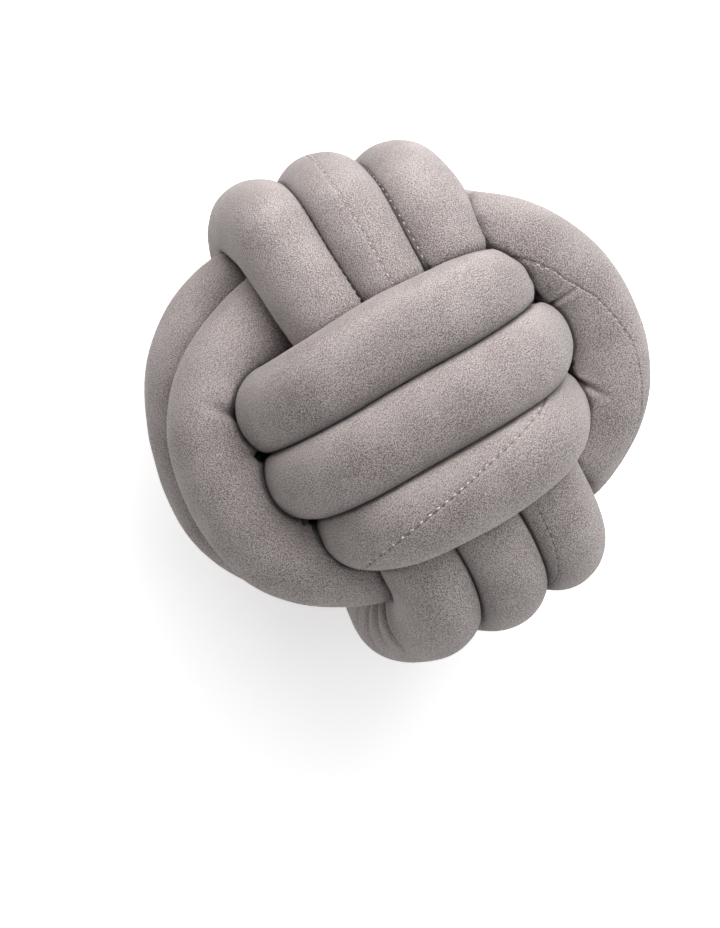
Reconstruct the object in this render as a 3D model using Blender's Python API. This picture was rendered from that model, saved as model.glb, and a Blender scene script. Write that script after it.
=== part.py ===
"""Knot cushion: one long stuffed velour tube, tied as a three-turn monkey's fist.

The tube makes three turns in each of three planes. Each group of turns wraps
the one before it: F lies over S at the front and back, S over T at the two
ends, and T over F at the two sides. Its two ends are sewn together inside the
ball, so the tube is one closed loop. It lies on its back, with the F strands
up and running along X.

Frame: metres, +X along the front strands, +Z up, origin on the floor under
the middle of the ball.
"""
import bpy
import numpy as np

# ---- driving sizes, metres -------------------------------------------------
PITCH = 0.0432          # centre to centre of two strands lying side by side
TUBE_RADIUS = 0.0250    # stuffed tube where nothing presses on it
CORE_SWELL = 0.22       # how much further it reaches towards the hollow middle
SEAM_GAP = 0.0019       # space left between two faces that press together
FLOOR_SINK = 0.0045     # how far the lowest strands flatten on the floor
SECTION_STEP = 0.0170   # length of tube between two sections
LINE_STEP = 0.004       # step along the tube's centre line
PRESS_SPREAD = 2        # centre-line steps to each side that a press spreads
SIDES_RESOLUTION = 5    # curve bevel resolution: 4 + 2 * this many sides
BEND_REACH = 2.05       # lengths (in pitches) along the tube that never touch

# ---- the three groups of turns, in pitches ---------------------------------
# power_far / power_near: how square the two halves of a turn are (2 is an
#     ellipse)
# lay_far / lay_near / lay_side: step from turn to turn at the two long ends
#     and along the short sides
# lean_far / lean_near / lean_front / lean_back: sideways shift at the two ends
#     and on the two short sides
# slant: how much further the front strand shifts from its near to its far end
# flare: how much wider the near half of a turn is
# hump: how much a strand swings sideways where it comes out from under the
#     group that covers it
GROUPS = {
    #     power_far near  lay_far near  side  lean_far near front  back  slant flare hump
    "F": (3.70,    3.70,   1.01,  1.00, 0.83,  -0.09,  0.00, -0.10, -0.13, 0.00, 0.18, 0.00),
    "S": (3.30,    3.30,   0.91,  1.02, 0.84,   0.34, -0.31,  0.19, -0.10, 0.26, 0.00, 0.00),
    "T": (2.42,    2.70,   1.00,  1.02, 0.90,   0.26,  0.22,  0.05,  0.00, 0.45, 0.00, 0.25),
}
# Half extents of each turn's centre line: far / near along the group's long
# direction, front / back along its short one; the degrees that the turn is
# turned in its own plane; and how far it shifts sideways, from its back to its
# front, in passing the near end.
TURN_SIZES = {
    #     far   near  front back  turned  skew
    "F": ((2.54, 2.56, 1.55, 1.61, 0.0, 0.00),
          (2.62, 2.60, 1.66, 1.68, 0.0, 0.00),
          (2.54, 2.56, 1.39, 1.39, 0.0, 0.00)),
    "S": ((2.40, 2.68, 1.81, 1.76, 0.0, 0.15),
          (2.72, 2.75, 1.84, 1.84, 0.0, 0.35),
          (2.83, 2.66, 1.76, 1.76, 0.0, 0.52)),
    "T": ((2.49, 2.56, 1.67, 1.77, 5.4, 0.00),
          (2.30, 2.75, 2.04, 1.92, 14.5, 0.00),
          (2.32, 2.58, 1.70, 1.80, 10.0, 0.00)),
}
TURNS = 3
SHIFT_SHARE = 0.26      # part of a turn in which it steps sideways
END_SHARE = 0.075       # part of a turn left off at each end of a group
HUMP_AT = 0.115         # part of a turn at which a hump is highest
HUMP_SHARE = 0.035      # part of a turn over which it fades

# ---- the tube's way through the core, from one group to the next -----------
# short / lay / long: along the finished group's own three directions
CORE_WAY = (
    # name     short   lay    long
    ("enter", 1.44, -0.92, -0.42),
    ("turn", 0.84, -0.70, 0.22),
    ("cross", 0.86, -0.12, 0.92),
    ("rise", 1.00, 0.58, 1.48),
)


def power_wave(angle, power):
    """Cosine and sine of a superellipse of the given power."""
    c, s = np.cos(angle), np.sin(angle)
    scale = (np.abs(c) ** power + np.abs(s) ** power) ** (-1.0 / power)
    return c * scale, s * scale


def smooth_step(x):
    x = np.clip(x, 0.0, 1.0)
    return x * x * (3.0 - 2.0 * x)


def group_turns(name, samples=72):
    """Centre line of one group's turns, in its short, lay and long directions."""
    (power_far, power_near, lay_far, lay_near, lay_side, lean_far, lean_near,
     lean_front, lean_back, slant, flare, hump) = GROUPS[name]
    t = np.linspace(END_SHARE, TURNS - END_SHARE, samples * TURNS)
    angle = 2.0 * np.pi * t
    cos_, sin_ = power_wave(angle, np.where(np.sin(angle) > 0, power_far, power_near))
    turn = np.zeros_like(t)                 # 0, 1, 2: first, middle, last turn
    for step in range(1, TURNS):
        turn += smooth_step((t - step) / SHIFT_SHARE + 0.5)
    sizes = np.array(TURN_SIZES[name])
    far, near, front, back, turned, skew = (
        np.interp(turn, np.arange(TURNS), sizes[:, k]) for k in range(6))
    long_ = sin_ * np.where(sin_ > 0, far, near)
    short = cos_ * np.where(cos_ > 0, front, back)
    short *= 1.0 + flare * np.minimum(sin_, 0.0) ** 2
    at_end = np.sin(angle) ** 2
    step = lay_side + at_end * (np.where(sin_ > 0, lay_far, lay_near) - lay_side)
    lean = at_end * np.where(sin_ > 0, lean_far, lean_near)
    lean += (1.0 - at_end) * np.where(cos_ > 0, lean_front + slant * sin_, lean_back)
    lean += at_end * np.where(sin_ < 0, skew * cos_, 0.0)
    lean += hump * np.exp(-0.5 * ((t % 1.0 - HUMP_AT) / HUMP_SHARE) ** 2)
    a = np.radians(turned)
    return np.stack([short * np.cos(a) - long_ * np.sin(a), (1.0 - turn) * step + lean,
                     short * np.sin(a) + long_ * np.cos(a)], axis=1)


def spline(points):
    """Closed Catmull-Rom curve through the points."""
    p0, p1 = np.roll(points, 1, 0), points
    p2, p3 = np.roll(points, -1, 0), np.roll(points, -2, 0)

    def knot(a, b):
        return np.linalg.norm(b - a, axis=1, keepdims=True) ** 0.5

    d01, d12, d23 = knot(p0, p1), knot(p1, p2), knot(p2, p3)
    m1 = (p2 - p1) + d12 * ((p1 - p0) / d01 - (p2 - p0) / (d01 + d12))
    m2 = (p2 - p1) + d12 * ((p3 - p2) / d23 - (p3 - p1) / (d12 + d23))
    rows = []
    for u in np.linspace(0.0, 1.0, 24, endpoint=False):
        rows.append((2 * u**3 - 3 * u**2 + 1) * p1 + (u**3 - 2 * u**2 + u) * m1
                    + (-2 * u**3 + 3 * u**2) * p2 + (u**3 - u**2) * m2)
    return np.stack(rows, axis=1).reshape(-1, 3)


def even_steps(points, step):
    """The closed line through the points, cut into equal lengths."""
    loop = np.vstack([points, points[:1]])
    run = np.concatenate([[0.0], np.cumsum(np.linalg.norm(np.diff(loop, axis=0), axis=1))])
    count = int(round(run[-1] / step))
    at = np.linspace(0.0, run[-1], count, endpoint=False)
    return np.stack([np.interp(at, run, loop[:, k]) for k in range(3)], axis=1)


def tube_path():
    """Centre line of the whole tube, in metres, before it is set on the floor.

    F's short, lay and long directions are x, y and z. Each next group is the
    same figure with the three directions turned round once more.
    """
    knots = []
    for turn, name in enumerate("FST"):
        body = group_turns(name)[::4]
        way = np.array([row[1:] for row in CORE_WAY])
        for block in (body, way):
            for _ in range(turn):
                block = block[:, [1, 2, 0]]
            knots.append(block)
    line = even_steps(spline(np.vstack(knots) * PITCH), LINE_STEP)
    for _ in range(6):      # ease the joins between groups and core
        line = 0.5 * line + 0.25 * (np.roll(line, 1, 0) + np.roll(line, -1, 0))
    return even_steps(line, LINE_STEP)


# ==== model =================================================================
VELOUR_COLOUR = (0.47, 0.42, 0.41, 1.0)
VELOUR_ROUGHNESS = 0.95


def swollen_radius(centre, outward):
    """Free radius along each outward direction, fuller towards the middle."""
    inward = np.clip(-(outward @ centre) / np.linalg.norm(centre), 0.0, 1.0)
    return TUBE_RADIUS * (1.0 + CORE_SWELL * inward ** 2)


def press_radius(centres, section, outward, free_radius, gap):
    """How far a section reaches along each outward direction.

    The tube keeps its free radius until it meets the plane halfway to another
    stretch of tube, so two stretches press flat against each other.
    """
    count = len(centres)
    step = np.linalg.norm(centres[1] - centres[0])
    apart = np.abs(np.arange(count) - section)
    apart = np.minimum(apart, count - apart) * step
    towards = centres - centres[section]
    distance = np.linalg.norm(towards, axis=1)
    near = (apart > BEND_REACH * PITCH) & (distance < 2.0 * free_radius.max() + gap)
    if not near.any():
        return free_radius
    unit = towards[near] / distance[near, None]
    facing = np.maximum(outward @ unit.T, 1e-4)
    reach = (0.5 * distance[near] - 0.5 * gap) / facing
    return np.minimum(free_radius, reach.min(axis=1))


def clear_scene():
    for item in list(bpy.data.objects):
        bpy.data.objects.remove(item, do_unlink=True)


def make_collection(name):
    group = bpy.data.collections.new(name)
    bpy.context.scene.collection.children.link(group)
    return group


def make_velour():
    cloth = bpy.data.materials.new("velour")
    cloth.use_nodes = True
    shader = cloth.node_tree.nodes["Principled BSDF"]
    shader.inputs["Base Color"].default_value = VELOUR_COLOUR
    shader.inputs["Roughness"].default_value = VELOUR_ROUGHNESS
    shader.inputs["Metallic"].default_value = 0.0
    return cloth


def round_tube(name, line):
    """A plain round tube along the closed line, as a mesh."""
    curve = bpy.data.curves.new(name + "_line", "CURVE")
    curve.dimensions = "3D"
    curve.resolution_u = 1
    curve.render_resolution_u = 0
    curve.bevel_depth = TUBE_RADIUS
    curve.bevel_resolution = SIDES_RESOLUTION
    run = curve.splines.new("POLY")
    run.points.add(len(line) - 1)
    run.points.foreach_set("co", np.column_stack([line, np.ones(len(line))]).ravel())
    run.use_cyclic_u = True
    guide = bpy.data.objects.new(name + "_line", curve)
    bpy.context.scene.collection.objects.link(guide)
    ready = guide.evaluated_get(bpy.context.evaluated_depsgraph_get())
    mesh = bpy.data.meshes.new_from_object(ready)
    mesh.name = name
    bpy.data.objects.remove(guide, do_unlink=True)
    bpy.data.curves.remove(curve)
    return mesh


def press_together(mesh, line, path):
    """Shape the tube's skin where another stretch, or the floor, presses."""
    points = np.empty(len(mesh.vertices) * 3)
    mesh.vertices.foreach_get("co", points)
    points = points.reshape(len(line), -1, 3)
    for section, centre in enumerate(line):
        arm = points[section] - centre
        outward = arm / np.linalg.norm(arm, axis=1, keepdims=True)
        free = swollen_radius(centre, outward)
        place = int(np.argmin(((path - centre) ** 2).sum(axis=1)))
        reach = np.min([
            press_radius(path, (place + k) % len(path), outward, free, SEAM_GAP)
            for k in range(-PRESS_SPREAD, PRESS_SPREAD + 1)], axis=0)
        points[section] = centre + outward * reach[:, None]
    floor = line[:, 2].min() - TUBE_RADIUS + FLOOR_SINK
    points[:, :, 2] = np.maximum(points[:, :, 2], floor)
    low, high = points.min(axis=(0, 1)), points.max(axis=(0, 1))
    points -= (0.5 * (low[0] + high[0]), 0.5 * (low[1] + high[1]), floor)
    mesh.vertices.foreach_set("co", points.ravel())
    mesh.update()


def build():
    clear_scene()
    parts = make_collection("knot_cushion")
    path = tube_path()
    line = even_steps(path, SECTION_STEP)
    mesh = round_tube("knot_tube", line)
    press_together(mesh, line, path)
    mesh.materials.append(make_velour())
    mesh.shade_smooth()
    tube = bpy.data.objects.new("knot_tube", mesh)
    parts.objects.link(tube)


build()
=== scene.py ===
"""Looks of the knot cushion: one stuffed velour tube tied as a monkey's fist."""
import math
import bpy
import numpy as np
from mathutils import Matrix, Vector, noise


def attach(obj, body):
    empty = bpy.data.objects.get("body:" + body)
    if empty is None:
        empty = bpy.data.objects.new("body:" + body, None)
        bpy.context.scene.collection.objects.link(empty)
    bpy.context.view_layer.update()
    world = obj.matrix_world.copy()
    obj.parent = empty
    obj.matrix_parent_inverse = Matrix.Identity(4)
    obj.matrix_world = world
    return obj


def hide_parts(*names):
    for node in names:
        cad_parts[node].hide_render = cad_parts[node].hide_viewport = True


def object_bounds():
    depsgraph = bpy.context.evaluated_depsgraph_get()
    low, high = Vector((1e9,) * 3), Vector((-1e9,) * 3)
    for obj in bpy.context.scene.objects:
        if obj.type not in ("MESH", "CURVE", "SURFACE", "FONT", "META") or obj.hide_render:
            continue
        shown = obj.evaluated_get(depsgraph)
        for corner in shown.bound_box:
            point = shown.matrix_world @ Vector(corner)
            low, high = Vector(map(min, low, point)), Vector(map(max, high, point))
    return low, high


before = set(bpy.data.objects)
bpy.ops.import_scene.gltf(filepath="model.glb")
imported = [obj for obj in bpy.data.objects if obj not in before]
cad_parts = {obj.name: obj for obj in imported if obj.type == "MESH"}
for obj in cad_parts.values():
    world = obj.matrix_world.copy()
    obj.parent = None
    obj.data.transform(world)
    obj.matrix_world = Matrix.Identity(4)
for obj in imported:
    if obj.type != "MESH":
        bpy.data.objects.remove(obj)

cad_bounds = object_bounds()

# ---- driving sizes, metres -------------------------------------------------
PITCH = 0.0432          # centre to centre of two strands lying side by side
TUBE_RADIUS = 0.0250    # stuffed tube where nothing presses on it
LINE_STEP = 0.004       # step along the tube's centre line
BEND_REACH = 2.05       # lengths (in pitches) along the tube that never touch

# ---- the three groups of turns, in pitches ---------------------------------
# power_far / power_near: how square the two halves of a turn are (2 is an
#     ellipse)
# lay_far / lay_near / lay_side: step from turn to turn at the two long ends
#     and along the short sides
# lean_far / lean_near / lean_front / lean_back: sideways shift at the two ends
#     and on the two short sides
# slant: how much further the front strand shifts from its near to its far end
# flare: how much wider the near half of a turn is
# hump: how much a strand swings sideways where it comes out from under the
#     group that covers it
GROUPS = {
    #     power_far near  lay_far near  side  lean_far near front  back  slant flare hump
    "F": (3.70,    3.70,   1.01,  1.00, 0.83,  -0.09,  0.00, -0.10, -0.13, 0.00, 0.18, 0.00),
    "S": (3.30,    3.30,   0.91,  1.02, 0.84,   0.34, -0.31,  0.19, -0.10, 0.26, 0.00, 0.00),
    "T": (2.42,    2.70,   1.00,  1.02, 0.90,   0.26,  0.22,  0.05,  0.00, 0.45, 0.00, 0.25),
}
# Half extents of each turn's centre line: far / near along the group's long
# direction, front / back along its short one; the degrees that the turn is
# turned in its own plane; and how far it shifts sideways, from its back to its
# front, in passing the near end.
TURN_SIZES = {
    #     far   near  front back  turned  skew
    "F": ((2.54, 2.56, 1.55, 1.61, 0.0, 0.00),
          (2.62, 2.60, 1.66, 1.68, 0.0, 0.00),
          (2.54, 2.56, 1.39, 1.39, 0.0, 0.00)),
    "S": ((2.40, 2.68, 1.81, 1.76, 0.0, 0.15),
          (2.72, 2.75, 1.84, 1.84, 0.0, 0.35),
          (2.83, 2.66, 1.76, 1.76, 0.0, 0.52)),
    "T": ((2.49, 2.56, 1.67, 1.77, 5.4, 0.00),
          (2.30, 2.75, 2.04, 1.92, 14.5, 0.00),
          (2.32, 2.58, 1.70, 1.80, 10.0, 0.00)),
}
TURNS = 3
SHIFT_SHARE = 0.26      # part of a turn in which it steps sideways
END_SHARE = 0.075       # part of a turn left off at each end of a group
HUMP_AT = 0.115         # part of a turn at which a hump is highest
HUMP_SHARE = 0.035      # part of a turn over which it fades
TURN_SAMPLES = 72       # points worked out along one turn
KNOT_EVERY = 4          # every fourth of them is a knot of the curve
SPLINE_STEPS = 24       # points of the curve from one knot to the next
EASE_ROUNDS = 6         # rounds that ease the joins between groups and core

# ---- the tube's way through the core, from one group to the next -----------
# short / lay / long: along the finished group's own three directions
CORE_WAY = (
    # name     short   lay    long
    ("enter", 1.44, -0.92, -0.42),
    ("turn", 0.84, -0.70, 0.22),
    ("cross", 0.86, -0.12, 0.92),
    ("rise", 1.00, 0.58, 1.48),
)


def power_wave(angle, power):
    """Cosine and sine of a superellipse of the given power."""
    c, s = np.cos(angle), np.sin(angle)
    scale = (np.abs(c) ** power + np.abs(s) ** power) ** (-1.0 / power)
    return c * scale, s * scale


def smooth_step(x):
    """From 0 to 1, level at both ends."""
    x = np.clip(x, 0.0, 1.0)
    return x * x * (3.0 - 2.0 * x)


def group_turns(name):
    """Centre line of one group's turns, in its short, lay and long directions."""
    (power_far, power_near, lay_far, lay_near, lay_side, lean_far, lean_near,
     lean_front, lean_back, slant, flare, hump) = GROUPS[name]
    t = np.linspace(END_SHARE, TURNS - END_SHARE, TURN_SAMPLES * TURNS)
    angle = 2.0 * np.pi * t
    cos_, sin_ = power_wave(angle, np.where(np.sin(angle) > 0, power_far, power_near))
    turn = np.zeros_like(t)                 # 0, 1, 2: first, middle, last turn
    for step in range(1, TURNS):
        turn += smooth_step((t - step) / SHIFT_SHARE + 0.5)
    sizes = np.array(TURN_SIZES[name])
    far, near, front, back, turned, skew = (
        np.interp(turn, np.arange(TURNS), sizes[:, k]) for k in range(6))
    long_ = sin_ * np.where(sin_ > 0, far, near)
    short = cos_ * np.where(cos_ > 0, front, back)
    short *= 1.0 + flare * np.minimum(sin_, 0.0) ** 2
    at_end = np.sin(angle) ** 2
    step = lay_side + at_end * (np.where(sin_ > 0, lay_far, lay_near) - lay_side)
    lean = at_end * np.where(sin_ > 0, lean_far, lean_near)
    lean += (1.0 - at_end) * np.where(cos_ > 0, lean_front + slant * sin_, lean_back)
    lean += at_end * np.where(sin_ < 0, skew * cos_, 0.0)
    lean += hump * np.exp(-0.5 * ((t % 1.0 - HUMP_AT) / HUMP_SHARE) ** 2)
    a = np.radians(turned)
    return np.stack([short * np.cos(a) - long_ * np.sin(a), (1.0 - turn) * step + lean,
                     short * np.sin(a) + long_ * np.cos(a)], axis=1)


def spline(points):
    """Closed Catmull-Rom curve through the points."""
    p0, p1 = np.roll(points, 1, 0), points
    p2, p3 = np.roll(points, -1, 0), np.roll(points, -2, 0)

    def knot(a, b):
        return np.linalg.norm(b - a, axis=1, keepdims=True) ** 0.5

    d01, d12, d23 = knot(p0, p1), knot(p1, p2), knot(p2, p3)
    m1 = (p2 - p1) + d12 * ((p1 - p0) / d01 - (p2 - p0) / (d01 + d12))
    m2 = (p2 - p1) + d12 * ((p3 - p2) / d23 - (p3 - p1) / (d12 + d23))
    rows = []
    for u in np.linspace(0.0, 1.0, SPLINE_STEPS, endpoint=False):
        rows.append((2 * u**3 - 3 * u**2 + 1) * p1 + (u**3 - 2 * u**2 + u) * m1
                    + (-2 * u**3 + 3 * u**2) * p2 + (u**3 - u**2) * m2)
    return np.stack(rows, axis=1).reshape(-1, 3)


def even_steps(points, step):
    """The closed line through the points, cut into equal lengths."""
    loop = np.vstack([points, points[:1]])
    run = np.concatenate([[0.0], np.cumsum(np.linalg.norm(np.diff(loop, axis=0), axis=1))])
    count = int(round(run[-1] / step))
    at = np.linspace(0.0, run[-1], count, endpoint=False)
    return np.stack([np.interp(at, run, loop[:, k]) for k in range(3)], axis=1)


def tube_path():
    """Centre line of the whole tube, in metres, before it is set on the floor.

    F's short, lay and long directions are x, y and z. Each next group is the
    same figure with the three directions turned round once more.
    """
    knots = []
    for turn, name in enumerate("FST"):
        body = group_turns(name)[::KNOT_EVERY]
        way = np.array([row[1:] for row in CORE_WAY])
        for block in (body, way):
            for _ in range(turn):
                block = block[:, [1, 2, 0]]
            knots.append(block)
    line = even_steps(spline(np.vstack(knots) * PITCH), LINE_STEP)
    for _ in range(EASE_ROUNDS):
        line = 0.5 * line + 0.25 * (np.roll(line, 1, 0) + np.roll(line, -1, 0))
    return even_steps(line, LINE_STEP)


# ---- the fine tube ----------------------------------------------------------
# Lengths are in metres, shares from 0 to 1.
SECTION_STEP = 0.0045   # length of tube between two sections
TUCK_STEP = 0.0011      # the same beside a tuck
TUCK_ROOM = 0.011       # how far from a tuck the sections stay that close
TUCK_EASE = 0.012       # the length over which they then spread out again
RUN_SAMPLES = 8000      # places along the tube at which this spacing is worked out

SKIN_GAP = 0.0004       # space left between two faces that press together
CORE_SWELL = 0.20       # the tube bulges into the hollow in the middle
ROUNDING = 0.0011       # how softly a pressed face turns into a free one
LUMPS = ((22.0, 0.022), (60.0, 0.011))  # uneven fill: per metre, share of the radius
PIT_DEEP, PIT_WIDE = 0.0042, 0.0046     # hollow left where three turns meet
PIT_APART = 1.5         # pitches, along the tube, between the other two of them
FLOOR_GAP = 0.0002      # the cloth stays this far above the floor

CREASE_FADE = 0.0009    # how far the painted crease shade reaches out of a crease
FLANK_FADE = 0.0075     # the same for the painted shade on the flank above a crease
PIT_SHADE = 0.8         # how dark the painted shade in a pit is, as a share of a crease's
UPPER_CREASE_FAINTER = 0.75      # how much fainter the creases are where turns touch lightly,
FAINTER_FROM, FAINTER_OVER = 0.045, 0.03    # how much fainter the painted crease shade is at the ball's upper front edge, how far up that starts, and fades in over

TUCK_REACH = 0.03       # length of tube to each side that a tuck can shape
TUCK_START = 2.5        # how steeply a tuck rises at its deep end
TUCK_FADE = 0.8         # power with which it fades towards its end
TUCK_SIDES = 1.5        # power of its sides: higher is steeper
LIP_AT, LIP_WIDE = 2.6, 1.3     # raised lips beside it, in widths of the tuck
LIP_HIGH = 0.22         # their height, as a share of its depth
TUCK_SHADE_DEPTH = 0.006        # depth at which the painted shade in a tuck would be as dark as a crease's
TUCK_SHADE = 0.6        # the darkest that this painted shade gets

# Distances round the skin from the seam to the lines that shape it.
SEAM_LINES = (0.0007, 0.0015, 0.0026)
PLAIN_LINES = 29        # further lines, from there to the side away from the seam
HALF_ROUND = math.pi * TUBE_RADIUS      # distance round the skin to that side
SEAM_DEPTH = 0.0006     # furrow that the seam draws in
SEAM_EASE = 12          # rounds that ease the seam's way between its known places
STITCH_PITCH = 0.0041   # one stitch and the hole beside it

# The sewn seam: where along a group's turns, and the way it faces there, in
# degrees from the ball's outside towards the group's lay direction.
SEAM_WAY = (
    # group turns faces
    ("F", 0.08, 180.0), ("F", 1.60, 180.0), ("F", 2.08, 85.0), ("F", 2.12, 55.0),
    ("F", 2.156, 34.0), ("F", 2.183, 29.5), ("F", 2.222, 18.5), ("F", 2.289, 7.0),
    ("F", 2.328, -7.0), ("F", 2.355, -25.0), ("F", 2.395, -50.0), ("F", 2.50, -80.0),
    ("F", 2.90, -110.0),
    ("S", 0.088, -34.0), ("S", 0.115, -36.0), ("S", 0.141, -37.0), ("S", 0.30, -40.0),
    ("S", 0.60, -60.0), ("S", 0.79, -60.0), ("S", 0.831, -40.0), ("S", 0.857, -28.0),
    ("S", 0.87, -22.0), ("S", 0.90, -19.0), ("S", 1.082, -7.5), ("S", 1.109, -1.0),
    ("S", 1.16, 1.5), ("S", 1.25, 8.0), ("S", 1.50, 40.0), ("S", 1.80, 84.0),
    ("S", 1.90, 86.0), ("S", 2.077, 39.0), ("S", 2.11, 52.0), ("S", 2.20, 60.0),
    ("S", 2.50, 60.0), ("S", 2.80, 40.0), ("S", 2.86, 40.0), ("S", 2.898, 46.0),
    ("T", 0.085, 128.0), ("T", 0.112, 113.0), ("T", 0.132, 99.0), ("T", 0.15, 95.5),
    ("T", 0.17, 97.0), ("T", 0.208, 88.5), ("T", 0.234, 78.0), ("T", 0.261, 66.5),
    ("T", 0.28, 59.0), ("T", 0.30, 54.0), ("T", 0.35, 36.0), ("T", 0.42, 8.0),
    ("T", 0.60, -20.0), ("T", 0.75, -60.0), ("T", 1.25, -60.0), ("T", 1.75, -60.0),
    ("T", 2.25, -30.0), ("T", 2.75, -10.0), ("T", 2.90, 40.0),
)
# How strong the painted highlight on the thread and the painted shade in its holes are along the
# seam, 0 to 1.
SEAM_SHOWS = (
    # group turns thread holes
    ("F", 1.60, 0.2, 0.4), ("F", 2.10, 0.8, 1.0), ("F", 2.36, 0.8, 1.0), ("F", 2.55, 0.2, 0.4),
    ("S", 0.09, 0.25, 0.3), ("S", 0.15, 0.25, 0.3), ("S", 0.50, 0.2, 0.4),
    ("S", 0.83, 0.1, 1.0), ("S", 0.90, 0.1, 1.0), ("S", 1.08, 0.4, 0.1), ("S", 1.17, 0.4, 0.1),
    ("S", 1.50, 0.2, 0.4), ("S", 2.07, 0.5, 0.4), ("S", 2.12, 0.5, 0.4), ("S", 2.50, 0.2, 0.4),
    ("S", 2.86, 0.1, 0.6), ("S", 2.90, 0.1, 0.6),
    ("T", 0.10, 0.35, 0.6), ("T", 0.17, 0.35, 0.6), ("T", 0.21, 0.2, 0.8), ("T", 0.28, 0.2, 0.8),
    ("T", 0.35, 0.1, 0.4), ("T", 2.80, 0.2, 0.4),
)
# Creases pinched across the tube where it turns tightly or meets a corner. Each
# runs round the skin, in the same degrees as the seam, from its deep end.
TUCKS = (
    # group turns from   to     deep    wide    slant, in metres
    ("T", 0.177, 165.0, 84.0, 0.0052, 0.0019, 0.007),
    ("T", 0.297, 165.0, 90.0, 0.0052, 0.0017, 0.014),
    ("T", 0.820, 150.0, 78.0, 0.0056, 0.0034, 0.008),
    ("T", 0.764, 172.0, 112.0, 0.0038, 0.0022, 0.003),
    ("T", 0.662, 172.0, 118.0, 0.0038, 0.0022, -0.004),
    ("S", 2.795, -150.0, -62.0, 0.0044, 0.0021, 0.010),
    ("S", 2.770, -150.0, -76.0, 0.0022, 0.0022, 0.004),
    ("S", 2.744, -150.0, -70.0, 0.0018, 0.0022, -0.001),
    ("S", 2.716, -150.0, -74.0, 0.0014, 0.0022, -0.005),
)
# Where the front ring comes out at the top it stands a little further out than
# in the solid: its place, and how far along and how high that is, in metres.
RING_OUT = ("T", 0.085, 0.055, 0.0055)


def frames_along(line):
    """Directions across the closed line that never spin about it."""
    ahead = np.roll(line, -1, 0) - np.roll(line, 1, 0)
    ahead /= np.linalg.norm(ahead, axis=1, keepdims=True)
    first = np.cross(ahead[0], (0.0, 1.0, 0.3))
    across = np.empty_like(line)
    across[0] = first / np.linalg.norm(first)
    for i in range(1, len(line)):
        v = across[i - 1] - ahead[i] * np.dot(across[i - 1], ahead[i])
        across[i] = v / np.linalg.norm(v)
    closing = across[-1] - ahead[0] * np.dot(across[-1], ahead[0])
    spin = math.atan2(np.dot(closing, np.cross(ahead[0], across[0])),
                      np.dot(closing, across[0]))
    undo = -spin * np.arange(len(line)) / len(line)
    third = np.cross(ahead, across)
    turned = across * np.cos(undo)[:, None] + third * np.sin(undo)[:, None]
    return turned, np.cross(ahead, turned)


def place_on_turns(name, turns, degrees):
    """A point on a group's centre line and a direction across it."""
    body = group_turns(name)
    t = np.linspace(END_SHARE, TURNS - END_SHARE, len(body))
    i = min(max(int(np.argmin(np.abs(t - turns))), 1), len(body) - 2)
    ahead = body[i + 1] - body[i - 1]
    ahead /= np.linalg.norm(ahead)
    outside = body[i] * (1.0, 0.0, 1.0)
    outside -= ahead * np.dot(ahead, outside)
    outside /= np.linalg.norm(outside)
    lay = np.array((0.0, 1.0, 0.0))
    lay -= ahead * ahead[1] + outside * outside[1]
    lay /= np.linalg.norm(lay)
    face = math.cos(math.radians(degrees)) * outside + math.sin(math.radians(degrees)) * lay
    place = body[i]
    for _ in range("FST".index(name)):
        place, face = place[[1, 2, 0]], face[[1, 2, 0]]
    return place * PITCH, face


def nearest(line, place):
    """Index of the line's point that is nearest to the place."""
    return int(np.argmin(((line - place) ** 2).sum(axis=1)))


def seam_angles(line, across, third, run, length):
    """The seam's angle round each section, easing from one known place to the next."""
    keys = []
    for name, turns, degrees in SEAM_WAY:
        place, face = place_on_turns(name, turns, degrees)
        i = nearest(line, place)
        keys.append((run[i], math.atan2(face @ third[i], face @ across[i])))
    keys.sort()
    at = np.array([k[0] for k in keys])
    angle = np.unwrap(np.array([k[1] for k in keys]))
    whole_turns = round((angle[-1] - angle[0]) / (2 * math.pi))
    at = np.append(at, at[0] + length)
    angle = np.append(angle, angle[0] + 2 * math.pi * whole_turns)
    spun = np.interp(np.where(run < at[0], run + length, run), at, angle)
    for _ in range(SEAM_EASE):
        before, after = np.roll(spun, 1), np.roll(spun, -1)
        before[0] -= 2 * math.pi * round((before[0] - spun[0]) / (2 * math.pi))
        after[-1] -= 2 * math.pi * round((after[-1] - spun[-1]) / (2 * math.pi))
        gap = np.abs(before - after) < 1.0
        spun = np.where(gap, 0.5 * spun + 0.25 * (before + after), spun)
    return spun


def seam_shows(line, run, length):
    """How strong the painted highlight on the thread and the painted shade in the holes are at each
    section.
    """
    rows = sorted((run[nearest(line, place_on_turns(name, turns, 0.0)[0])], thread, holes)
                  for name, turns, thread, holes in SEAM_SHOWS)
    at, thread, holes = np.array(rows).T
    return tuple(np.interp(run, at, shows, period=length) for shows in (thread, holes))


def section_places(length, tucks):
    """Distances along the tube of its sections, closer together beside a tuck."""
    fine = np.linspace(0.0, length, RUN_SAMPLES, endpoint=False)
    step = np.full_like(fine, SECTION_STEP)
    for place in tucks:
        off = np.abs((fine - place + 0.5 * length) % length - 0.5 * length)
        step = np.minimum(step, TUCK_STEP + (SECTION_STEP - TUCK_STEP)
                          * smooth_step((off - TUCK_ROOM) / TUCK_EASE))
    count = np.concatenate([[0.0], np.cumsum((length / RUN_SAMPLES) / step)])
    whole = int(round(count[-1]))
    return np.interp(np.arange(whole) * count[-1] / whole, count, np.append(fine, length))


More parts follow.
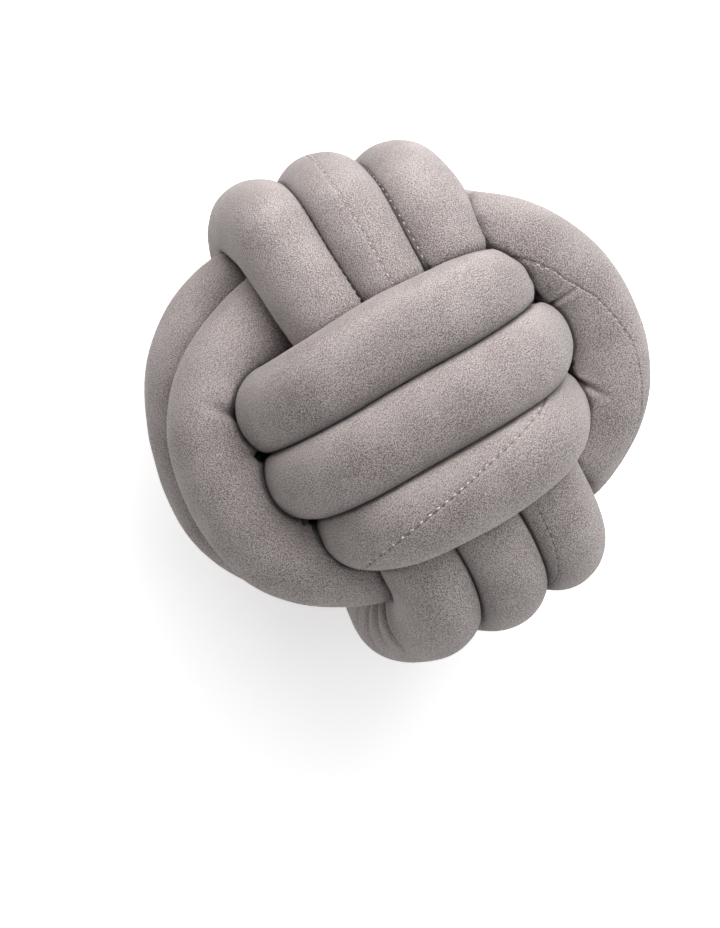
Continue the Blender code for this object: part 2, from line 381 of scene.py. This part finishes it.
def press_reach(path, apart, centre, outward, free):
    """How far out the skin goes: to the free radius, or halfway to another stretch.

    Also gives how much further it is to halfway than to the free radius, and how
    near each point is to a corner where a third stretch meets the two.
    """
    towards = path - centre
    distance = np.linalg.norm(towards, axis=1)
    near = (apart > BEND_REACH * PITCH) & (distance < 2.0 * free.max() + SKIN_GAP)
    if not near.any():
        return free, np.full_like(free, 1.0), np.zeros_like(free)
    unit = towards[near] / distance[near, None]
    facing = np.maximum(outward @ unit.T, 1e-4)
    halves = (0.5 * distance[near] - 0.5 * SKIN_GAP) / facing
    closest = halves.argmin(axis=1)
    halfway = halves.min(axis=1)
    index = np.flatnonzero(near)
    between = np.abs(index - index[closest][:, None])
    between = np.minimum(between, len(path) - between)
    third = np.where(between > PIT_APART * PITCH / LINE_STEP, halves, 1.0).min(axis=1)
    pressed = np.clip(1.0 + (free - halfway) / ROUNDING, 0.0, 1.0)
    corner = smooth_step(1.0 - (third - halfway) / PIT_WIDE) * pressed
    blend = np.clip(1.0 - np.abs(free - halfway) / (2.0 * ROUNDING), 0.0, 1.0)
    reach = np.minimum(free, halfway) - 0.5 * ROUNDING * blend ** 2
    return reach - PIT_DEEP * corner, halfway - free, corner


def tuck_depth(tuck, run, length, angle):
    """How far a tuck draws in the points of one section."""
    place, start, end, deep, wide, slant = tuck
    share = (angle - start + math.pi) % (2 * math.pi) - math.pi
    reach = (end - start + math.pi) % (2 * math.pi) - math.pi
    share = share / reach
    along = (run - place + 0.5 * length) % length - 0.5 * length
    along = np.abs(along - slant * share)
    strength = np.where(share > 0, np.clip(1.0 - share, 0.0, 1.0) ** TUCK_FADE,
                        np.clip(1.0 + TUCK_START * share, 0.0, 1.0))
    groove = np.exp(-(along / wide) ** TUCK_SIDES)
    lips = np.exp(-((along - LIP_AT * wide) / (LIP_WIDE * wide)) ** 2)
    return deep * strength * (groove - LIP_HIGH * lips)


def round_offsets():
    """Distances round the skin from the seam, and back to it, of each line."""
    plain = np.linspace(SEAM_LINES[-1], HALF_ROUND, PLAIN_LINES + 2)[1:-1]
    half = np.concatenate([SEAM_LINES, plain])
    return np.concatenate([[0.0], half, [HALF_ROUND], -half[::-1]])


def ring_out(path):
    """The line with the front ring's stretch moved out in the ring's own plane."""
    name, turns, reach, height = RING_OUT
    middle = nearest(path, place_on_turns(name, turns, 0.0)[0])
    away = np.abs(np.arange(len(path)) - middle)
    away = np.minimum(away, len(path) - away) * LINE_STEP
    out = path * (1.0, 1.0, 0.0)
    out = out / np.maximum(np.linalg.norm(out, axis=1, keepdims=True), 1e-4)
    return path + out * height * smooth_step(1.0 - away / reach)[:, None]


def fine_tube():
    """The skin's points, section by section, with its marks of painted shade and what the seam
    shows.
    """
    path = ring_out(tube_path())
    steps = np.linalg.norm(np.roll(path, -1, 0) - path, axis=1)
    path_run = np.concatenate([[0.0], np.cumsum(steps)])
    length = path_run[-1]
    tuck_runs = [path_run[nearest(path, place_on_turns(*tuck[:3])[0])] for tuck in TUCKS]
    run = section_places(length, tuck_runs)
    loop = np.vstack([path, path[:1]])
    line = np.stack([np.interp(run, path_run, loop[:, k]) for k in range(3)], axis=1)
    across, third = frames_along(line)
    seam = seam_angles(line, across, third, run, length)
    tucks = []
    for (name, turns, start, end, deep, wide, slant), at in zip(TUCKS, tuck_runs):
        ends = []
        for degrees in (start, end):
            place, face = place_on_turns(name, turns, degrees)
            i = nearest(line, place)
            ends.append(math.atan2(face @ third[i], face @ across[i]))
        tucks.append((at, ends[0], ends[1], deep, wide, slant))
    offsets = round_offsets()
    groove = SEAM_DEPTH * np.clip(1.0 - np.abs(offsets) / SEAM_LINES[1], 0.0, 1.0)
    points = np.empty((len(line), len(offsets), 3))
    crease = np.empty((len(line), len(offsets)))
    flank = np.empty((len(line), len(offsets)))
    for i, centre in enumerate(line):
        angle = seam[i] + offsets / TUBE_RADIUS
        outward = np.outer(np.cos(angle), across[i]) + np.outer(np.sin(angle), third[i])
        apart = np.abs(path_run[:-1] - run[i])
        apart = np.minimum(apart, length - apart)
        inward = np.clip(-(outward @ centre) / np.linalg.norm(centre), 0.0, 1.0)
        free = TUBE_RADIUS * (1.0 + CORE_SWELL * inward ** 2)
        skin = [Vector(centre + d * TUBE_RADIUS) for d in outward]
        for scale, share in LUMPS:
            free = free * (1.0 + share * np.array([noise.noise(p * scale) for p in skin]))
        reach, spare, corner = press_reach(path, apart, centre, outward, free)
        # painted crease shade, fainter at the ball's upper front edge
        light = smooth_step((centre[1] - FAINTER_FROM) / FAINTER_OVER) * (centre[2] > 0)
        # painted shade in the crease, fading out from where the turns press
        crease[i] = np.exp(-np.maximum(spare, 0.0) / CREASE_FADE) * (1.0 - UPPER_CREASE_FAINTER * light)
        # painted shade in the pits where three turns meet
        crease[i] = np.maximum(crease[i], PIT_SHADE * corner)
        # painted shade on the flank above a crease, reaching further out
        flank[i] = np.exp(-np.maximum(spare, 0.0) / FLANK_FADE)
        reach = reach - groove
        for tuck in tucks:
            if abs((run[i] - tuck[0] + 0.5 * length) % length - 0.5 * length) < TUCK_REACH:
                drawn = tuck_depth(tuck, run[i], length, angle)
                reach = reach - drawn
                # painted shade in the tuck, darker the deeper it draws in
                shade = np.clip(drawn / TUCK_SHADE_DEPTH, 0.0, TUCK_SHADE)
                crease[i] = np.maximum(crease[i], shade)
        points[i] = centre + outward * reach[:, None]
    return points, crease, flank, run, length, offsets, seam_shows(line, run, length)


def settle(points):
    """The points moved to the solid's place, and flat where they lie on the floor."""
    low, high = (np.array(c) for c in cad_bounds)
    box_low, box_high = points.min(axis=(0, 1)), points.max(axis=(0, 1))
    shift = 0.5 * (low + high) - 0.5 * (box_low + box_high)
    shift[2] = high[2] - box_high[2]
    points = points + shift
    points[:, :, 2] = np.maximum(points[:, :, 2], low[2] + FLOOR_GAP)
    return points


def grid_mesh(name, points, marks, run, length, offsets):
    """The skin as one closed mesh, with its marks and its distances as cloth."""
    rows, sides = points.shape[:2]
    i, j = np.meshgrid(np.arange(rows), np.arange(sides), indexing="ij")
    ni, nj = (i + 1) % rows, (j + 1) % sides
    faces = np.stack([i * sides + j, i * sides + nj, ni * sides + nj, ni * sides + j], axis=-1)
    mesh = bpy.data.meshes.new(name)
    mesh.from_pydata(points.reshape(-1, 3).tolist(), [], faces.reshape(-1, 4).tolist())
    along = np.append(run, length)
    side_start = offsets.copy()
    side_end = np.append(offsets[1:], 0.0)
    side_start[int(np.argmax(offsets))] = -HALF_ROUND   # where the two halves meet
    uv = np.empty((rows, sides, 4, 2))
    for corner, (step, turn) in enumerate(((0, 0), (0, 1), (1, 1), (1, 0))):
        uv[:, :, corner, 0] = along[step:rows + step][:, None]
        uv[:, :, corner, 1] = (side_end if turn else side_start)[None, :]
    layer = mesh.uv_layers.new(name="cloth")
    layer.data.foreach_set("uv", uv.astype(np.float32).ravel())
    for mark, values in marks.items():
        layer = mesh.attributes.new(mark, "FLOAT", "POINT")
        layer.data.foreach_set("value", values.astype(np.float32).ravel())
    mesh.shade_smooth()
    mesh.update()
    return mesh


# ---- the stitches -----------------------------------------------------------
STITCH_LONG, STITCH_THICK = 0.0023, 0.0005      # a stitch's length and its radius
STITCH_RINGS, STITCH_SIDES = 5, 6       # rings along it, and sides round it
STITCH_SIDE = 0.0004    # the stitches lie a little to one side of the furrow,
STITCH_LIFT = 0.0004    # with their middle this far out of it,
STITCH_DIP = 0.00035    # and their ends drawn in again by this much
STITCH_END = 0.15       # how thick an end is, as a share of the middle
STITCH_HIDDEN = 0.75    # no stitches where the seam is this deep in a crease


def stitch_mesh(points, crease, shows, run, length, count):
    """One short, plump stitch every few millimetres along the open seam."""
    rows = len(points)
    at = (np.arange(count) + 0.5) * length / count
    index = np.interp(at, np.append(run, length), np.arange(rows + 1))
    verts, faces, light = [], [], []
    for place in index:
        i = int(place) % rows
        part = place - int(place)
        k = (i + 1) % rows
        if max(crease[i, 0], crease[k, 0]) > STITCH_HIDDEN:
            continue
        spot = points[i, 0] * (1 - part) + points[k, 0] * part
        side = points[i, 1] * (1 - part) + points[k, 1] * part - spot
        other = points[i, -1] * (1 - part) + points[k, -1] * part - spot
        ahead = points[k, 0] - points[i, 0]
        ahead /= np.linalg.norm(ahead)
        beside = side - other
        beside -= ahead * np.dot(beside, ahead)
        beside /= np.linalg.norm(beside)
        up = np.cross(ahead, beside)
        if np.dot(up, side + other) < 0:
            up = -up
        spot = spot + beside * STITCH_SIDE + up * STITCH_LIFT
        start = len(verts)
        for ring in range(STITCH_RINGS):
            t = -1.0 + 2.0 * ring / (STITCH_RINGS - 1)
            girth = math.sqrt(max(1.0 - t * t, 0.0)) * (1.0 - STITCH_END) + STITCH_END
            dip = -STITCH_DIP * t * t
            for s in range(STITCH_SIDES):
                a = 2 * math.pi * s / STITCH_SIDES
                verts.append(spot + ahead * (0.5 * STITCH_LONG * t) + up * dip
                             + (beside * math.cos(a) + up * math.sin(a)) * STITCH_THICK * girth)
        for ring in range(STITCH_RINGS - 1):
            for s in range(STITCH_SIDES):
                n = (s + 1) % STITCH_SIDES
                a, b = start + ring * STITCH_SIDES, start + (ring + 1) * STITCH_SIDES
                faces.append((a + s, a + n, b + n, b + s))
        faces.append(tuple(start + s for s in reversed(range(STITCH_SIDES))))
        last = start + (STITCH_RINGS - 1) * STITCH_SIDES
        faces.append(tuple(last + s for s in range(STITCH_SIDES)))
        # strength of the painted highlight, for each point of this stitch
        light += [shows[i]] * (len(verts) - start)
    mesh = bpy.data.meshes.new("seam_thread")
    mesh.from_pydata([tuple(v) for v in verts], [], faces)
    layer = mesh.attributes.new("light", "FLOAT", "POINT")
    layer.data.foreach_set("value", light)
    mesh.shade_smooth()
    mesh.update()
    return mesh


# ---- the looks --------------------------------------------------------------
class Nodes:
    """Small helper to write a shader as plain calls."""

    def __init__(self, name):
        self.material = bpy.data.materials.new(name)
        self.material.use_nodes = True
        self.tree = self.material.node_tree
        self.shader = self.tree.nodes["Principled BSDF"]

    def put(self, value, socket):
        """Link an output to the socket, or set a constant on it."""
        if isinstance(value, bpy.types.NodeSocket):
            self.tree.links.new(value, socket)
        else:
            socket.default_value = value

    def surface(self, values):
        """Set the sockets of the surface's own shader."""
        for key, value in values.items():
            self.put(value, self.shader.inputs[key])

    def add(self, kind, values=None, **settings):
        node = self.tree.nodes.new(kind)
        for key, value in settings.items():
            setattr(node, key, value)
        for key, value in (values or {}).items():
            self.put(value, node.inputs[key])
        return node

    def mark(self, name):
        """One of the mesh's marks."""
        return self.add("ShaderNodeAttribute", attribute_name=name).outputs["Fac"]

    def math(self, operation, a, b=0.0, c=0.0):
        return self.add("ShaderNodeMath", {0: a, 1: b, 2: c}, operation=operation).outputs[0]

    def mix(self, share, a, b):
        node = self.add("ShaderNodeMix", data_type="RGBA")
        for name, value in (("Factor_Float", share), ("A_Color", a), ("B_Color", b)):
            self.put(value, next(s for s in node.inputs if s.identifier == name))
        return next(s for s in node.outputs if s.identifier == "Result_Color")

    def noise(self, vector, scale, detail=2.0, roughness=0.5):
        node = self.add("ShaderNodeTexNoise", {"Vector": vector, "Scale": scale, "Detail": detail,
                                               "Roughness": roughness})
        return node.outputs[0]

    def ramp(self, value, low, high, to_low=0.0, to_high=1.0):
        node = self.add("ShaderNodeMapRange", {"Value": value, "From Min": low, "From Max": high,
                                               "To Min": to_low, "To Max": to_high})
        node.interpolation_type = "SMOOTHSTEP"
        return node.outputs[0]


VELOUR_DEEP = (0.218, 0.180, 0.173, 1.0)        # down between the hairs of the pile
VELOUR_FACE = (0.645, 0.582, 0.570, 1.0)        # on their tips
THREAD_HIGHLIGHT = (0.86, 0.80, 0.79, 1.0)          # painted highlight on the thread
HOLE_SHADE = (0.09, 0.073, 0.07, 1.0)            # painted shade in the needle holes
PAINTED_CREASE_SHADE = (0.05, 0.039, 0.037, 1.0)         # painted shade in creases, pits and tucks and on the flanks above them
PILE_LEAN = (0.0, -0.45, 0.0)   # added to the normal: the pile lies over that way
RIB_ALONG, RIB_ROUND = 0.00044, 0.0010  # a rib along the tube and round it, metres
# Noise, per metre: the pile, its brushed patches, and the extra grain painted on the lower sides.
PILE_SCALE, BRUSHED_SCALE, LOWER_GRAIN_SCALE = 1950.0, 38.0, 1400.0
RIB_SHARE, GRAIN_SHARE = 0.5, 0.90      # the rest is pile, and brushed patches
# Ramps over how far the cloth faces the ball's upper edge, -1 to 1: where each
# starts and ends, and its value there.
LOWER_GRAIN_RAMP = (-0.6, 0.4, 0.35, 0.0)      # how much extra grain is added: painted glint and shade of grazing light, more on the lower sides
CONTRAST_RAMP = (-0.9, 0.7, 10.0, 4.2)  # contrast between deep and face: the grain is the cloth's own, its rise on the lower sides is painted glint and shade
UPPER_SHADE_RAMP = (0.75, 1.0, 0.0, 0.45)     # share of painted shade on the upper edge
FLANK_SHADE_RAMP = (-0.8, 0.0, 0.60, 0.0)    # share of painted shade on a flank facing down
CREASE_SHARE, HOLE_SHARE = 0.70, 0.52   # how far each colour goes to its painted shade
HOLE_SIDE = 0.0006      # the holes lie beside the furrow, away from the stitches
# Such ramps for a hole: along the seam, over a wave from -1 to 1, and across it.
HOLE_ALONG = (0.1, 0.9, 0.2, 1.0)
HOLE_ACROSS = (0.0002, 0.0010, 1.0, 0.0)
GRAIN_HIGH, HOLE_DEEP = 0.0010, 0.0005  # bump, metres


def velour(stitch_pitch):
    """Short pile with fine ribs and needle holes, with painted shade in creases, on flanks, on the
    upper edge and in the holes.
    """
    n = Nodes("velour_pile")
    place = n.add("ShaderNodeTexCoord").outputs["Object"]
    uv = n.add("ShaderNodeUVMap", uv_map="cloth").outputs[0]
    split = n.add("ShaderNodeSeparateXYZ", {0: uv})
    along, across = split.outputs[0], split.outputs[1]
    # fine ribs that run round the tube, and a sandy grain over them
    stretched = n.add("ShaderNodeCombineXYZ", {
        0: n.math("MULTIPLY", along, 1.0 / RIB_ALONG),
        1: n.math("MULTIPLY", across, 1.0 / RIB_ROUND)}).outputs[0]
    ribs = n.noise(stretched, 1.0, roughness=0.6)
    pile = n.noise(place, PILE_SCALE, detail=1.5, roughness=0.6)
    brushed = n.noise(place, BRUSHED_SCALE)
    grain = n.math("ADD", n.math("MULTIPLY", ribs, RIB_SHARE),
                   n.math("MULTIPLY", pile, 1.0 - RIB_SHARE))
    tone = n.math("ADD", n.math("MULTIPLY", grain, GRAIN_SHARE),
                  n.math("MULTIPLY", brushed, 1.0 - GRAIN_SHARE))
    # grain stronger on the lower sides: painted glint and shade of grazing light over the cloth's
    # own grain
    normal = n.add("ShaderNodeNewGeometry").outputs["Normal"]
    faces_up = n.add("ShaderNodeSeparateXYZ", {0: normal}).outputs[1]
    lower_grain = n.math("SUBTRACT", n.noise(place, LOWER_GRAIN_SCALE, detail=1.0), 0.5)
    tone = n.math("MULTIPLY_ADD", lower_grain, n.ramp(faces_up, *LOWER_GRAIN_RAMP), tone)
    contrast = n.ramp(faces_up, *CONTRAST_RAMP)
    share = n.math("MULTIPLY_ADD", n.math("SUBTRACT", tone, 0.5), contrast, 0.5)
    colour = n.mix(n.ramp(share, 0.0, 1.0), VELOUR_DEEP, VELOUR_FACE)
    # painted shade: cloth facing the ball's upper edge is darker
    colour = n.mix(n.ramp(faces_up, *UPPER_SHADE_RAMP), colour, VELOUR_DEEP)
    # painted shade on the downward flank above a crease
    flank_shade = n.math("MULTIPLY", n.mark("flank"), n.ramp(faces_up, *FLANK_SHADE_RAMP))
    colour = n.mix(flank_shade, colour, PAINTED_CREASE_SHADE)
    # painted shade in creases, pits and tucks
    pressed = n.math("MULTIPLY", n.ramp(n.mark("crease"), 0.0, 1.0), CREASE_SHARE)
    colour = n.mix(pressed, colour, PAINTED_CREASE_SHADE)
    # seam: painted shade in a hole between two stitches
    off = n.math("ABSOLUTE", n.math("ADD", across, HOLE_SIDE))
    phase = n.math("COSINE", n.math("MULTIPLY", along, 2 * math.pi / stitch_pitch))
    hole = n.math("MULTIPLY", n.ramp(phase, *HOLE_ALONG), n.ramp(off, *HOLE_ACROSS))
    hole = n.math("MULTIPLY", hole, n.mark("holes"))
    colour = n.mix(n.math("MULTIPLY", hole, HOLE_SHARE), colour, HOLE_SHADE)
    height = n.math("MULTIPLY_ADD", grain, GRAIN_HIGH, n.math("MULTIPLY", hole, -HOLE_DEEP))
    # the pile lies over towards the ball's lower side
    leaning = n.add("ShaderNodeVectorMath", {0: normal, 1: PILE_LEAN}, operation="ADD").outputs[0]
    leaning = n.add("ShaderNodeVectorMath", {0: leaning}, operation="NORMALIZE").outputs[0]
    bump = n.add("ShaderNodeBump", {"Height": height, "Distance": 1.0, "Strength": 0.9,
                                    "Normal": leaning}).outputs[0]
    n.surface({"Base Color": colour, "Normal": bump, "Roughness": 0.95,
               "Specular IOR Level": 0.12, "Sheen Weight": 0.40, "Sheen Roughness": 0.35,
               "Sheen Tint": (0.95, 0.92, 0.91, 1.0)})
    return n.material


FIBRE_SCALE, PATCH_SCALE = 2600.0, 90.0         # noise in the thread, per metre
FIBRE_RAMP = (0.3, 0.7)                 # from deep to face, over the fibres
PATCH_RAMP = (0.25, 0.65, 1.0, 0.5)     # how much of the painted highlight a patch keeps
FIBRE_HIGH = 0.0002                     # bump, metres


def thread():
    """Thread in the cloth's own colours, with a painted highlight where its mark says so."""
    n = Nodes("seam_thread")
    place = n.add("ShaderNodeTexCoord").outputs["Object"]
    fibre = n.noise(place, FIBRE_SCALE, roughness=0.6)
    patchy = n.noise(place, PATCH_SCALE, roughness=0.6)
    # painted highlight on the thread, in patches
    highlight = n.math("MULTIPLY", n.mark("light"), n.ramp(patchy, *PATCH_RAMP))
    colour = n.mix(n.ramp(fibre, *FIBRE_RAMP), VELOUR_DEEP, VELOUR_FACE)
    colour = n.mix(highlight, colour, THREAD_HIGHLIGHT)
    bump = n.add("ShaderNodeBump", {"Height": fibre, "Distance": FIBRE_HIGH,
                                    "Strength": 0.5}).outputs[0]
    n.surface({"Base Color": colour, "Normal": bump, "Roughness": 0.85,
               "Specular IOR Level": 0.2, "Sheen Weight": 0.2})
    return n.material


# ---- the pieces -------------------------------------------------------------
def add_object(name, data):
    """An object with the data, linked to the scene."""
    thing = bpy.data.objects.new(name, data)
    bpy.context.scene.collection.objects.link(thing)
    return thing


def add_piece(name, mesh, material):
    """A visible piece of the part, on its only body."""
    piece = add_object(name, mesh)
    mesh.materials.append(material)
    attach(piece, "root")
    return piece


points, crease, flank, run, length, offsets, (thread_highlight, holes) = fine_tube()
marks = {"crease": crease, "flank": flank, "holes": np.repeat(holes, len(offsets))}
stitches = int(length / STITCH_PITCH)
points = settle(points)
tube = add_piece("velour_tube", grid_mesh("velour_tube", points, marks, run, length, offsets),
                 velour(length / stitches))
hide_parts("knot_tube")
add_piece("seam_thread", stitch_mesh(points, crease, thread_highlight, run, length, stitches),
          thread())

# ---- the studio floor -------------------------------------------------------
FLOOR_HALF = 5.0        # metres
floor_mesh = bpy.data.meshes.new("studio_floor")
floor_mesh.from_pydata([(-FLOOR_HALF, -FLOOR_HALF, 0), (FLOOR_HALF, -FLOOR_HALF, 0),
                        (FLOOR_HALF, FLOOR_HALF, 0), (-FLOOR_HALF, FLOOR_HALF, 0)],
                       [], [(0, 1, 2, 3)])
floor = add_object("studio_floor", floor_mesh)
paper = Nodes("studio_paper")
paper.surface({"Base Color": (0.95, 0.95, 0.95, 1.0), "Roughness": 1.0,
               "Specular IOR Level": 0.0, "Emission Color": (1.0, 1.0, 1.0, 1.0),
               "Emission Strength": 0.55})
floor_mesh.materials.append(paper.material)

# ---- the camera -------------------------------------------------------------
ROLL = 29.5             # degrees that the front strands rise to the right
TILT_SIDE, TILT_UP = 4.0, 7.0   # degrees that the camera stands off the vertical
DISTANCE = 1.6          # from the camera to LOOK_AT, metres
METRES_PER_PIXEL = 0.0005615    # at that distance
LOOK_AT = Vector((0.0015, 0.0013, 0.137))
CENTRE_PIXEL = (392.9, 392.7)   # where LOOK_AT is in the picture
PICTURE_WIDE, PICTURE_HIGH = 720.0, 928.0       # pixels
SENSOR_WIDE = 36.0      # millimetres

view = Vector((-math.sin(math.radians(TILT_SIDE)), math.sin(math.radians(TILT_UP)), 1.0))
view = view.normalized()
roll = math.radians(ROLL)
right = Vector((math.cos(roll), -math.sin(roll), 0.0))
right = (right - right.dot(view) * view).normalized()
up = view.cross(right)
camera_data = bpy.data.cameras.new("camera")
camera = add_object("camera", camera_data)
camera.matrix_world = (Matrix.Translation(LOOK_AT + view * DISTANCE)
                       @ Matrix((right, up, view)).transposed().to_4x4())
camera_data.sensor_fit = "HORIZONTAL"
camera_data.sensor_width = SENSOR_WIDE
camera_data.lens = DISTANCE / METRES_PER_PIXEL * SENSOR_WIDE / PICTURE_WIDE
camera_data.shift_x = -(CENTRE_PIXEL[0] - 0.5 * PICTURE_WIDE) / PICTURE_WIDE
camera_data.shift_y = (CENTRE_PIXEL[1] - 0.5 * PICTURE_HIGH) / PICTURE_WIDE
bpy.context.scene.camera = camera

# ---- lights and sky ---------------------------------------------------------
LIGHT_DISTANCE = 1.7    # metres from LOOK_AT
LIGHTS = (
    # name, direction (right and up in the picture, and height), width, height, watts
    ("key", (0.08, 1.0, 0.95), 2.4, 1.0, 32.0),
    ("overhead", (0.28, 0.30, 1.0), 1.3, 1.3, 15.0),
)


def soft_light(name, direction, wide, high, energy):
    """A soft box that looks at the ball from the given direction."""
    data = bpy.data.lights.new(name, "AREA")
    data.shape = "RECTANGLE"
    data.size, data.size_y = wide, high
    data.energy = energy
    lamp = add_object(name, data)
    way = (right * direction[0] + up * direction[1] + Vector((0, 0, 1)) * direction[2]).normalized()
    lamp.location = LOOK_AT + way * LIGHT_DISTANCE
    across = (right - way * right.dot(way)).normalized()
    lamp.rotation_euler = Matrix((across, way.cross(across), way)).transposed().to_euler()


for light in LIGHTS:
    soft_light(*light)

# The sky is white near the horizon and dim above it, so the soft boxes shape the
# cushion. Height 0 is the horizon and 1 is straight up.
SKY_FADE = {"From Min": 0.05, "From Max": 0.35, "To Min": 1.0, "To Max": 0.09}

world = bpy.data.worlds.new("studio")
world.use_nodes = True
tree = world.node_tree
sky = tree.nodes["Background"]
sky.inputs[0].default_value = (1.0, 1.0, 1.0, 1.0)
direction = tree.nodes.new("ShaderNodeTexCoord")
height = tree.nodes.new("ShaderNodeSeparateXYZ")
fade = tree.nodes.new("ShaderNodeMapRange")
fade.interpolation_type = "SMOOTHSTEP"
for socket, value in SKY_FADE.items():
    fade.inputs[socket].default_value = value
tree.links.new(direction.outputs["Generated"], height.inputs[0])
tree.links.new(height.outputs[2], fade.inputs["Value"])
tree.links.new(fade.outputs[0], sky.inputs[1])
bpy.context.scene.world = world
bpy.context.scene.view_settings.view_transform = "Standard"
bpy.context.scene.view_settings.look = "None"


def plain(box):
    """The box's corners as plain lists."""
    return [[float(v) for v in corner] for corner in box]
